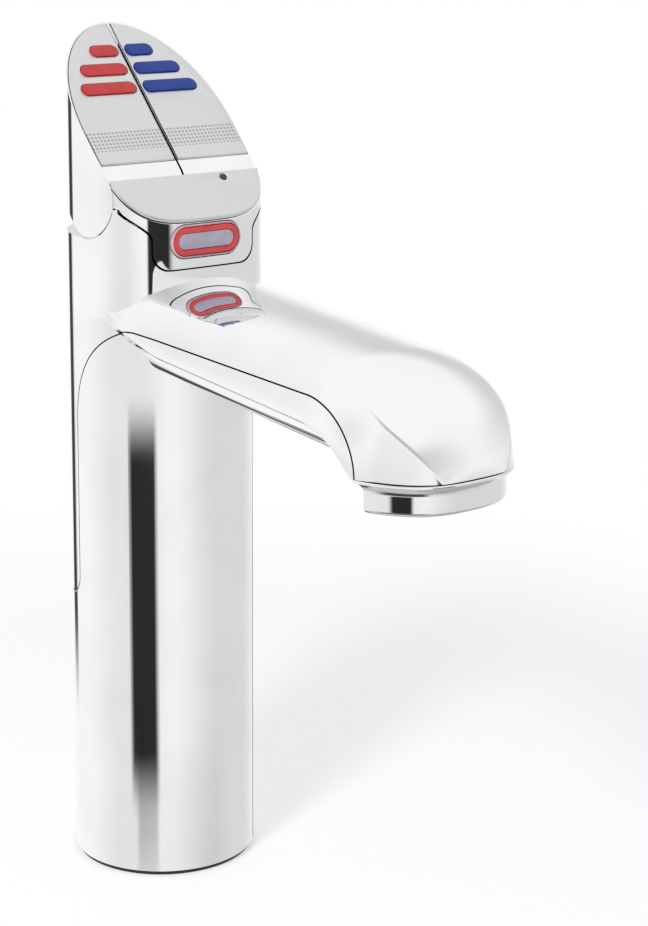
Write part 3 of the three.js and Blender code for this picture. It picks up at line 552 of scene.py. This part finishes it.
# A value that wanders over a surface, for its film, grain or speckle.
def wander_group():
    octaves, faint, strong = 5, 0.3, 0.7
    group = bpy.data.node_groups.new("wandering_value", "ShaderNodeTree")
    for name, kind in (("Scale", "NodeSocketFloat"), ("Stretch", "NodeSocketVector"),
                       ("Low", "NodeSocketFloat"), ("High", "NodeSocketFloat")):
        group.interface.new_socket(name, in_out="INPUT", socket_type=kind)
    for name in ("Value", "Spread"):
        group.interface.new_socket(name, in_out="OUTPUT", socket_type="NodeSocketFloat")
    way_in = node(group, "NodeGroupInput")
    way_out = node(group, "NodeGroupOutput")
    stretched = node(group, "ShaderNodeVectorMath", operation="MULTIPLY")
    group.links.new(node(group, "ShaderNodeTexCoord").outputs["Object"], stretched.inputs[0])
    group.links.new(way_in.outputs["Stretch"], stretched.inputs[1])
    noise = node(group, "ShaderNodeTexNoise")
    noise.inputs["Detail"].default_value = octaves
    group.links.new(stretched.outputs[0], noise.inputs["Vector"])
    group.links.new(way_in.outputs["Scale"], noise.inputs["Scale"])
    spread = soft_step(group, noise.outputs["Fac"], faint, strong)
    value = node(group, "ShaderNodeMapRange")
    group.links.new(spread, value.inputs["Value"])
    group.links.new(way_in.outputs["Low"], value.inputs["To Min"])
    group.links.new(way_in.outputs["High"], value.inputs["To Max"])
    group.links.new(value.outputs[0], way_out.inputs["Value"])
    group.links.new(spread, way_out.inputs["Spread"])
    return group


wandering = wander_group()


def wander(tree, scale, low, high, stretch):
    made = node(tree, "ShaderNodeGroup", node_tree=wandering)
    made.inputs["Scale"].default_value = scale
    made.inputs["Stretch"].default_value = stretch
    made.inputs["Low"].default_value = low
    made.inputs["High"].default_value = high
    return made


def shader_of(material):
    return material.node_tree.nodes["Principled BSDF"]


# A finish whose colour and roughness wander between two values, with a fine relief.
def finish(name, first, second, rough, scale, relief, metallic=0.0, stretch=(1, 1, 1),
           relief_scale=900):
    relief_depth = 0.00005
    material = bpy.data.materials.new(name)
    material.use_nodes = True
    tree, shader = material.node_tree, shader_of(material)
    shader.inputs["Metallic"].default_value = metallic
    film = wander(tree, scale, rough[0], rough[1], stretch)
    tree.links.new(film.outputs["Value"], shader.inputs["Roughness"])
    tint = node(tree, "ShaderNodeMix", data_type="RGBA")
    tree.links.new(film.outputs["Spread"], tint.inputs[factor])
    tint.inputs[colour_a].default_value = (*first, 1)
    tint.inputs[colour_b].default_value = (*second, 1)
    tree.links.new(tint.outputs[2], shader.inputs["Base Color"])
    if relief:
        grain = wander(tree, relief_scale, 0, 1, stretch)
        bump = node(tree, "ShaderNodeBump")
        bump.inputs["Strength"].default_value = relief
        bump.inputs["Distance"].default_value = relief_depth
        tree.links.new(grain.outputs["Value"], bump.inputs["Height"])
        tree.links.new(bump.outputs["Normal"], shader.inputs["Normal"])
    return material


def dress(piece, body, slot, material, *nodes):
    piece.data.materials.clear()
    piece.data.materials.append(material)
    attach(piece, body)
    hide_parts(*nodes)


chrome = finish("polished_chrome", (0.88, 0.885, 0.895), (0.93, 0.935, 0.94), rough=(0.015, 0.04),
                scale=38, relief=0, metallic=1.0)
column = prism("column", arc(0, 0, column_radius, 0, 360, round_steps)[:-1],
               seal_thickness + clearance, over_top)
head_face = [(-column_radius, 0)] + head_outline(0)[head_steps + 1:] + [(column_radius, 0)]
head = prism("head", head_face + [(head_back_half, head_back_y), (-head_back_half, head_back_y)],
             head_floor, over_top)
nose = spout("nose", 0, nose_root, fine)
shell = copy_of(column, "shell")
cut(shell, "DIFFERENCE", block("front_half", -far_away, far_away, -far_away, 0,
                               head_floor + front_overlap, over_top + spare))
cut(shell, "UNION", copy_of(head, "head_copy"))
cut(shell, "INTERSECT", below_face("face_plane"))
cut(shell, "UNION", copy_of(nose, "nose_copy"))
cut(shell, "DIFFERENCE", block("below_rim", -far_away, far_away, -far_away, tuck_start, 0,
                               spout_rim_z))
room = lever_room()
cut(shell, "DIFFERENCE", room, keep=True)
hollow = prism("hollow", arc(0, 0, column_radius - column_wall, 0, 360, hollow_steps)[:-1],
               -spare, head_floor + hollow_overlap)
hollow_nose = spout("hollow_nose", spout_wall, hollow_root, hollow_fine)
cut(hollow_nose, "DIFFERENCE", block("below_floor", -far_away, far_away, -far_away, tuck_start, 0,
                                     spout_rim_z + spout_wall))
cut(hollow, "UNION", hollow_nose)
cut(hollow, "UNION", prism("in_head", head_outline(column_wall, inner_steps), head_floor,
                           rim_floor - roof_thickness))
cut(hollow, "UNION", prism("outlet_well", outlet_outline(outlet_inset + outlet_wall, inner_steps),
                           spout_rim_z - well_under, spout_rim_z + well_over))
cut(shell, "DIFFERENCE", hollow)
lower = copy_of(shell, "lower_shell_cast")
cut(lower, "INTERSECT", prism("seam_low", seam_outline(joint_width / 2, True),
                              -far_away, far_away, "YZ"))
upper = shell
upper.name = "upper_shell_cast"
cut(upper, "INTERSECT", prism("seam_high", seam_outline(-joint_width / 2, False),
                              -far_away, far_away, "YZ"))
cut(upper, "DIFFERENCE", insert_room(groove_width))
for ear in (-ear_x, ear_x):
    cut(upper, "DIFFERENCE", block("ear_slot", ear - ear_slot_half, ear + ear_slot_half,
                                   pivot_y - ear_slot_reach, pivot_y + ear_slot_reach,
                                   under_head, pivot_z))
column_walls = wall_directions(column)
head_walls = wall_directions(head, lambda centre: centre.y < 0)
nose_walls = wall_directions(nose, turn=polished_in)
for piece, cad_node in ((lower, "lower_shell"), (upper, "upper_shell")):
    true_normals(piece, (column_walls, head_walls, nose_walls))
    dress(piece, "body", "chrome", chrome, cad_node)

# ---- Outlet ----------------------------------------------------------------------------
# A chromed collar is pressed into the spout's nose. A bead shows under the rim, a cove draws
# it in, and its mouth has a rounded edge. A grey moulded insert with the jets sits inside.
collar_inset, collar_lip, cove_height, mouth_edge, collar_height = 0.9, 0.9, 3, 1.2, 9.9
collar_steps, bore_steps, cove_steps, edge_steps = 90, 60, 12, 8
outlet_bottom = spout_rim_z - collar_height


# The bead's rounded edge is given as steps down from its top and in from its widest.
def outlet_collar():
    top = spout_rim_z - clearance
    bead_edge = ((0, 0.35), (0.1, 0.1), (0.3, 0), (collar_lip, 0))
    levels = [(top - down, collar_inset + inward) for down, inward in bead_edge]
    levels += [(top - collar_lip - cove_height * (1 - math.cos(turn)),
                blend(collar_inset, outlet_inset, math.sin(turn)))
               for turn in quarter(cove_steps)[1:]]
    levels += [(outlet_bottom + mouth_edge * (1 - math.sin(turn)),
                outlet_inset + mouth_edge * (1 - math.cos(turn))) for turn in quarter(edge_steps)]
    rings = [[(x, y, z) for x, y in outlet_outline(inset, collar_steps)] for z, inset in levels]
    bore = prism("bore", outlet_outline(outlet_inset + outlet_wall, bore_steps),
                 outlet_bottom - spare, top + spare)
    return cut(loft("collar", rings), "DIFFERENCE", bore)


def smooth_by_angle(piece, angle=32):
    mesh = piece.data
    mesh.polygons.foreach_set("use_smooth", [True] * len(mesh.polygons))
    mesh.set_sharp_from_angle(angle=math.radians(angle))


collar = outlet_collar()
smooth_by_angle(collar)
dress(collar, "body", "chrome", chrome, "outlet_collar")


def redress(cad_node, material):
    thing = bpy.data.objects[cad_node]
    if not thing.material_slots:
        thing.data.materials.append(material)
    for slot in thing.material_slots:
        slot.material = material


grey_plastic = finish("grey_moulding", (0.22, 0.225, 0.235), (0.29, 0.295, 0.305),
                      rough=(0.42, 0.55), scale=60, relief=0.25)
redress("flow_insert", grey_plastic)

# ---- Fascia ----------------------------------------------------------------------------
# A chromed zinc insert closes the head's front and forms the cradle's lip. Its sloping top
# holds a brushed plate, and a dark indicator window is set in the plate's right side.
face_thickness, plate_roll, front_under, clear_of_face = 0.8, 0.15, 10, 5
indicator_x, indicator_y, indicator_radius, indicator_depth, pin_steps = 14.2, -15.3, 1.1, 0.7, 32
button_width, button_height, button_rise = 27, 10.6, 8.5
button_z = insert_bottom + button_rise


def obround(width, height):
    half = (width - height) / 2
    return arc(half, 0, height / 2, -90, 90, fine) + arc(-half, 0, height / 2, 90, 270, fine)


# Stands a stack of outlines on the plane of the faces, its heights square to that plane.
def on_face(name, x, y, stack):
    across, rise = math.cos(face_pitch), math.sin(face_pitch)
    rings = [[(x + a, y + b * across - height * rise, face_z(y) + b * rise + height * across)
              for a, b in outline] for height, outline in stack]
    return loft(name, rings)


def button_outline(inset):
    outline = obround(button_width - 2 * inset, button_height - 2 * inset)
    return [(a, button_z + b) for a, b in outline]


def indicator_pin(name, radius, levels):
    stack = [(height, arc(0, 0, radius - inset, 0, 360, pin_steps)[:-1])
             for height, inset in levels]
    return on_face(name, indicator_x, indicator_y, stack)


def indicator_well():
    return indicator_pin("well", indicator_radius + clearance,
                         [(-indicator_depth - clearance, 0), (clear_of_face, 0)])


def brushed_metal(name):
    return finish(name, (0.68, 0.685, 0.69), (0.72, 0.725, 0.73), rough=(0.30, 0.36), scale=2600,
                  relief=0.10, metallic=1.0, stretch=(1, 0.25, 0.25), relief_scale=2600)


brushed = brushed_metal("brushed_satin")
front = prism("front", head_outline(0), insert_bottom - front_under, over_top)
cut(front, "INTERSECT", insert_room(0))
cut(front, "DIFFERENCE", room, keep=True)
insert = copy_of(front, "fascia_insert_cast")
cut(insert, "INTERSECT", below_face("under_plate", face_thickness + clearance))
cut(insert, "DIFFERENCE", prism("button_hole", button_outline(-clearance), -far_away,
                                -head_front + insert_depth + spare, "XZ"))
cut(insert, "DIFFERENCE", indicator_well())
true_normals(insert, (head_walls,))
dress(insert, "body", "chrome", chrome, "fascia_insert")
plate = front
plate.name = "fascia_brushed_plate"
cut(plate, "INTERSECT", below_face("plate_top"))
cut(plate, "DIFFERENCE", below_face("plate_bottom", face_thickness))
cut(plate, "DIFFERENCE", indicator_well())
smooth_by_angle(rolled(plate, plate_roll))
dress(plate, "body", "brushed_face", brushed, "fascia_plate")
# The window's domed top, as heights from the faces' plane and steps in from its side.
lens_dome = [(-0.3, 0), (-0.2, 0.1), (-0.13, 0.35), (-0.1, 0.8)]
lens = indicator_pin("indicator_window", indicator_radius, [(-indicator_depth, 0)] + lens_dome)
smooth_by_angle(lens, angle=60)
dark_plastic = finish("dark_moulding", (0.018, 0.019, 0.021), (0.03, 0.031, 0.034),
                      rough=(0.25, 0.4), scale=90, relief=0.15)
dress(lens, "body", "dark_plastic", dark_plastic, "indicator_lens")

# ---- Safety button ---------------------------------------------------------------------
# An oblong push button in three moulded pieces: a clear bezel, a red ring that lights up and
# a lilac-grey cap. They move together against a plunger and a small switch in the insert.
button_proud, button_depth, cup_depth, button_recess = 0.5, 3, 1.4, 0.1
button_rim, button_ring_width, cap_play, roll_steps = 0.55, 1.75, 0.15, 6
bezel_roll, ring_roll, cap_roll, cap_dome, dome_run = 0.45, 0.35, 0.25, 0.12, 1.2
button_front = -head_front - button_proud


# A moulded oblong with a rounded front edge, from one depth behind the button's front to
# another. A domed one stands forward in the middle.
def oblong(name, inset, depth, roll, dome=0.0):
    front, back = depth
    levels = [(inset + roll * (1 - math.sin(turn)), front + dome + roll * (1 - math.cos(turn)))
              for turn in quarter(roll_steps)]
    if dome:
        levels.insert(0, (inset + roll + dome_run, front))
    levels.append((inset, back))
    return loft(name, [[(x, button_front + behind, z) for x, z in button_outline(grow)]
                       for grow, behind in levels])


def oblong_hole(name, inset, depth):
    return prism(name, button_outline(inset), button_front - spare, button_front + depth, "XZ")


ring_inset = button_rim + clearance
cap_inset = ring_inset + button_ring_width
bezel = oblong("button_bezel", 0, (0, button_depth), bezel_roll)
cut(bezel, "DIFFERENCE", oblong_hole("bezel_hole", button_rim, cup_depth + clearance))
ring = oblong("button_red_ring", ring_inset, (button_recess, cup_depth), ring_roll)
cut(ring, "DIFFERENCE", oblong_hole("ring_hole", cap_inset, cup_depth + spare))
cap = oblong("button_cap", cap_inset + cap_play, (button_recess, cup_depth), cap_roll, cap_dome)
clear_plastic = finish("clear_moulding", (0.80, 0.50, 0.58), (0.90, 0.66, 0.72),
                       rough=(0.06, 0.12), scale=120, relief=0)
shader_of(clear_plastic).inputs["Transmission Weight"].default_value = 0.35
red_ring = finish("red_light_ring", (0.66, 0.035, 0.045), (0.74, 0.055, 0.065),
                  rough=(0.14, 0.22), scale=240, relief=0.04)
shader_of(red_ring).inputs["Coat Weight"].default_value = 0.3
lilac = finish("lilac_cap", (0.40, 0.37, 0.46), (0.48, 0.45, 0.54), rough=(0.25, 0.34), scale=200,
               relief=0.1)
for piece, slot, material, cad_node in (
        (bezel, "clear_plastic", clear_plastic, "button_lens"),
        (ring, "red_plastic", red_ring, "button_ring"),
        (cap, "lilac_plastic", lilac, "button_centre")):
    smooth_by_angle(piece)
    dress(piece, "safety_button", slot, material, cad_node)
redress("button_plunger", grey_plastic)
redress("button_switch", dark_plastic)

# ---- Levers ----------------------------------------------------------------------------
# Two chromed castings on one axle, split down the middle. Each has a round barrel, a thin
# wedge above it, a brushed face plate inside a polished rim, and three coloured raised bars.
lever_under, lever_split, lever_inset = math.radians(29), 0.8, 0.5
face_rim, split_rim, face_end, plate_edge = 0.8, 0.35, -9.3, 0.12
bar_pitch_y, bar_first_y, bar_half_width, bar_inner, bar_proud = 5.2, 20.9, 2.2, 1.6, 0.5
bar_lengths = (10.4, 17.5, 20.7)
axle_radius, axle_half, bush_radius, bush_start, bush_length = 2, 24, 3.2, 3, 4
pocket_inner, pocket_outer, ear_radius, lever_swing = 9.6, 20, 4.6, 16
pocket_play, barrel_play = 0.9, 0.2
plan_steps, profile_steps, barrel_steps, pocket_steps, drill_steps = 120, 96, 128, 32, 48
dot_pitch, dot_radius, dots_from, dots_to = 0.0014, 0.34, -0.0062, -0.0012


def side_span(side, near, far):
    return (near, far) if side > 0 else (-far, -near)


def lever_profile():
    round_part = arc(pivot_y, pivot_z, barrel_radius - barrel_play, 90 + math.degrees(face_pitch),
                     270 + math.degrees(lever_under), profile_steps)
    y, z = round_part[-1]
    return round_part + [(y + far_away, z + far_away * math.tan(lever_under)),
                         (y + far_away, face_z(y + far_away))]


def plate_blank(name, side, grow):
    low, high = side_span(side, lever_split / 2 + split_rim - grow, far_away)
    blank = block(name, low, high, face_end - grow, far_away, under_head, over_top)
    inside = head_outline(lever_inset + face_rim - grow, plan_steps)
    return cut(blank, "INTERSECT", prism("inside", inside, under_head - spare, over_top + spare))


def ear_pocket(side):
    radius, reach = ear_radius + pocket_play, 2 * barrel_radius
    swing = math.radians(lever_swing)
    lean, drop = radius * math.cos(swing) + reach * math.sin(swing), reach * math.cos(swing)
    outline = arc(pivot_y, pivot_z, radius, -lever_swing, 180 + lever_swing, pocket_steps)
    outline += [(pivot_y - lean, pivot_z - drop), (pivot_y + lean, pivot_z - drop)]
    return prism("pocket", outline, *side_span(side, pocket_inner, pocket_outer), "YZ")


def bar_stack(length, grow, levels):
    return [(height, obround(length + 2 * grow - 2 * inset, 2 * (bar_half_width + grow - inset)))
            for height, inset in levels]


# Brushed plates with a fine regular etched band of dots near their lower ends. A dot's
# radius is a share of the pitch, and so is the softness of its edge.
def etched_material():
    soft_in, soft_out = 0.08, 0.06
    material = brushed_metal("brushed_etched")
    tree, shader = material.node_tree, shader_of(material)
    place = node(tree, "ShaderNodeSeparateXYZ")
    tree.links.new(node(tree, "ShaderNodeTexCoord").outputs["Object"], place.inputs[0])
    across = math_node(tree, "DIVIDE", place.outputs["X"], dot_pitch)
    along = math_node(tree, "DIVIDE", place.outputs["Y"], dot_pitch * math.cos(face_pitch))
    cells = [math_node(tree, "SUBTRACT", math_node(tree, "FRACT", value), 0.5)
             for value in (across, along)]
    squares = [math_node(tree, "MULTIPLY", value, value) for value in cells]
    gap = math_node(tree, "SQRT", math_node(tree, "ADD", *squares))
    bare = soft_step(tree, gap, dot_radius - soft_in, dot_radius + soft_out)
    dot = math_node(tree, "SUBTRACT", 1.0, bare)
    band = math_node(tree, "MULTIPLY",
                     math_node(tree, "GREATER_THAN", place.outputs["Y"], dots_from),
                     math_node(tree, "LESS_THAN", place.outputs["Y"], dots_to))
    etched = math_node(tree, "MULTIPLY", dot, band)
    colour_from = shader.inputs["Base Color"].links[0].from_socket
    stain = node(tree, "ShaderNodeMix", data_type="RGBA")
    tree.links.new(etched, stain.inputs[factor])
    tree.links.new(colour_from, stain.inputs[colour_a])
    stain.inputs[colour_b].default_value = (0.40, 0.405, 0.42, 1)
    tree.links.new(stain.outputs[2], shader.inputs["Base Color"])
    return material


etched = etched_material()
red_plastic = finish("red_bar", (0.54, 0.040, 0.045), (0.60, 0.052, 0.057), rough=(0.22, 0.32),
                     scale=300, relief=0.06)
blue_plastic = finish("blue_bar", (0.008, 0.040, 0.27), (0.012, 0.052, 0.32), rough=(0.22, 0.32),
                      scale=300, relief=0.06)
for bar_material in (red_plastic, blue_plastic):
    shader_of(bar_material).inputs["Specular IOR Level"].default_value = 0.35
barrel = drum("barrel", barrel_radius - barrel_play, -far_away, far_away, barrel_steps)
plan = prism("plan", head_outline(lever_inset, plan_steps), under_head, over_top)
barrel_walls, plan_walls = wall_directions(barrel), wall_directions(plan)


def lever(prefix, colour, side, bar_material):
    rides = f"{prefix}_lever_body"
    low, high = side_span(side, lever_split / 2, far_away)
    body = prism(f"{prefix}_lever_cast", lever_profile(), low, high, "YZ")
    cut(body, "INTERSECT", plan, keep=True)
    seat = plate_blank("seat", side, clearance)
    cut(seat, "DIFFERENCE", below_face("seat_floor", face_thickness + clearance))
    cut(body, "DIFFERENCE", seat)
    cut(body, "DIFFERENCE", ear_pocket(side))
    cut(body, "DIFFERENCE", drum("axle_bore", axle_radius + clearance, -axle_half - clearance,
                                 axle_half + clearance, drill_steps))
    bush_low, bush_high = side_span(side, bush_start - clearance,
                                    bush_start + bush_length + clearance)
    cut(body, "DIFFERENCE", drum("bush_bore", bush_radius + clearance, bush_low, bush_high,
                                 drill_steps))
    true_normals(body, (plan_walls, barrel_walls), reach=0.0004)
    dress(body, rides, "chrome", chrome, f"{prefix}_lever")
    face = plate_blank(f"{prefix}_brushed_face", side, 0)
    cut(face, "INTERSECT", below_face("face_top"))
    cut(face, "DIFFERENCE", below_face("face_bottom", face_thickness))
    # A bar's rounded rim, as steps down from its top and in from its side.
    rim = ((0.3, 0), (0.17, 0.04), (0.07, 0.13), (0.02, 0.25), (0, 0.42))
    levels = [(-face_thickness, 0)] + [(bar_proud - down, inward) for down, inward in rim]
    slot_levels = [(-clear_of_face, 0), (clear_of_face, 0)]
    for index, length in enumerate(bar_lengths):
        x, y = side * (bar_inner + length / 2), bar_first_y - index * bar_pitch_y
        slot = on_face("slot", x, y, bar_stack(length, clearance, slot_levels))
        cut(face, "DIFFERENCE", slot)
        bar = on_face(f"{colour}_raised_bar_{index + 1}", x, y, bar_stack(length, 0, levels))
        smooth_by_angle(bar, angle=50)
        dress(bar, rides, f"{colour}_plastic", bar_material, f"{colour}_bar_{index + 1}")
    smooth_by_angle(rolled(face, plate_edge))
    dress(face, rides, "brushed_face", etched, f"{prefix}_face")


lever("boiling", "red", -1, red_plastic)
lever("chilled", "blue", 1, blue_plastic)
for thing in (column, head, nose, room, barrel, plan):
    bpy.data.objects.remove(thing)

# ---- Foot ------------------------------------------------------------------------------
# The column stands on a turned brass plate with a boss, held by three steel screws from
# below, and a black rubber ring seals it to the worktop. The ring's near-black colour also
# stands in for the thin shadow line along the column's foot: painted shade.
seal_inset, seal_width, seal_chamfer, seal_roll = 0.9, 8, 0.1, 0.3
seal_steps, hole_steps = 128, 96
# Black rubber, made dark enough that it also paints the shade of the thin shadow line at the foot.
rubber_and_foot_shade = finish("seal_rubber_black_and_foot_shade", (0.014, 0.014, 0.015), (0.028, 0.028, 0.03), rough=(0.6, 0.8),
                scale=400, relief=0.4)
brass = finish("turned_brass", (0.50, 0.36, 0.12), (0.60, 0.44, 0.17), rough=(0.22, 0.38),
               scale=300, relief=0.2, metallic=1.0, stretch=(0.2, 0.2, 4))
steel = finish("bright_steel", (0.52, 0.53, 0.55), (0.62, 0.63, 0.65), rough=(0.2, 0.34),
               scale=260, relief=0.15, metallic=1.0, stretch=(1, 1, 0.2))
seal_levels = ((0, seal_chamfer), (seal_chamfer, 0), (seal_thickness - seal_roll, 0),
               (seal_thickness, seal_roll))
outer = column_radius - seal_inset
seal_rings = [[(x, y, z) for x, y in arc(0, 0, outer - inset, 0, 360, seal_steps)[:-1]]
              for z, inset in seal_levels]
seal = loft("base_seal_ring", seal_rings)
seal_hole = arc(0, 0, column_radius - seal_width, 0, 360, hole_steps)[:-1]
cut(seal, "DIFFERENCE", prism("seal_hole", seal_hole, -spare, seal_thickness + spare))
smooth_by_angle(seal)
dress(seal, "body", "seal_rubber", rubber_and_foot_shade, "base_seal")
redress("base_plate", brass)
for number in (1, 2, 3):
    redress(f"base_screw_{number}", steel)

# ---- Water tubes -----------------------------------------------------------------------
# A copper boiling tube and two steel ones run up the column and out along the spout. They
# are pushed into a grey moulded manifold that opens onto the flow insert.
copper = finish("drawn_copper", (0.52, 0.22, 0.10), (0.62, 0.28, 0.14), rough=(0.24, 0.4),
                scale=90, relief=0.1, metallic=1.0, stretch=(1, 1, 0.15))
redress("boiling_tube", copper)
redress("chilled_tube", steel)
redress("vent_tube", steel)
redress("outlet_manifold", grey_plastic)

# ---- Carrier and switches --------------------------------------------------------------
# Under the cradle a moulded carrier, held by two screws, has ears that carry the steel axle.
# Brass bushes, coil springs, two switches and a green control board sit on and under it.
board_green = finish("board_green", (0.008, 0.085, 0.035), (0.015, 0.13, 0.055), rough=(0.3, 0.45),
                     scale=700, relief=0.2, stretch=(1, 1, 0.1))
redress("lever_carrier", grey_plastic)
redress("control_board", board_green)
for cad_node in ("carrier_screw_1", "carrier_screw_2", "lever_axle", "boiling_return_spring",
                 "chilled_return_spring"):
    redress(cad_node, steel)
for cad_node in ("boiling_bush", "chilled_bush"):
    redress(cad_node, brass)
for cad_node in ("boiling_switch", "chilled_switch"):
    redress(cad_node, dark_plastic)
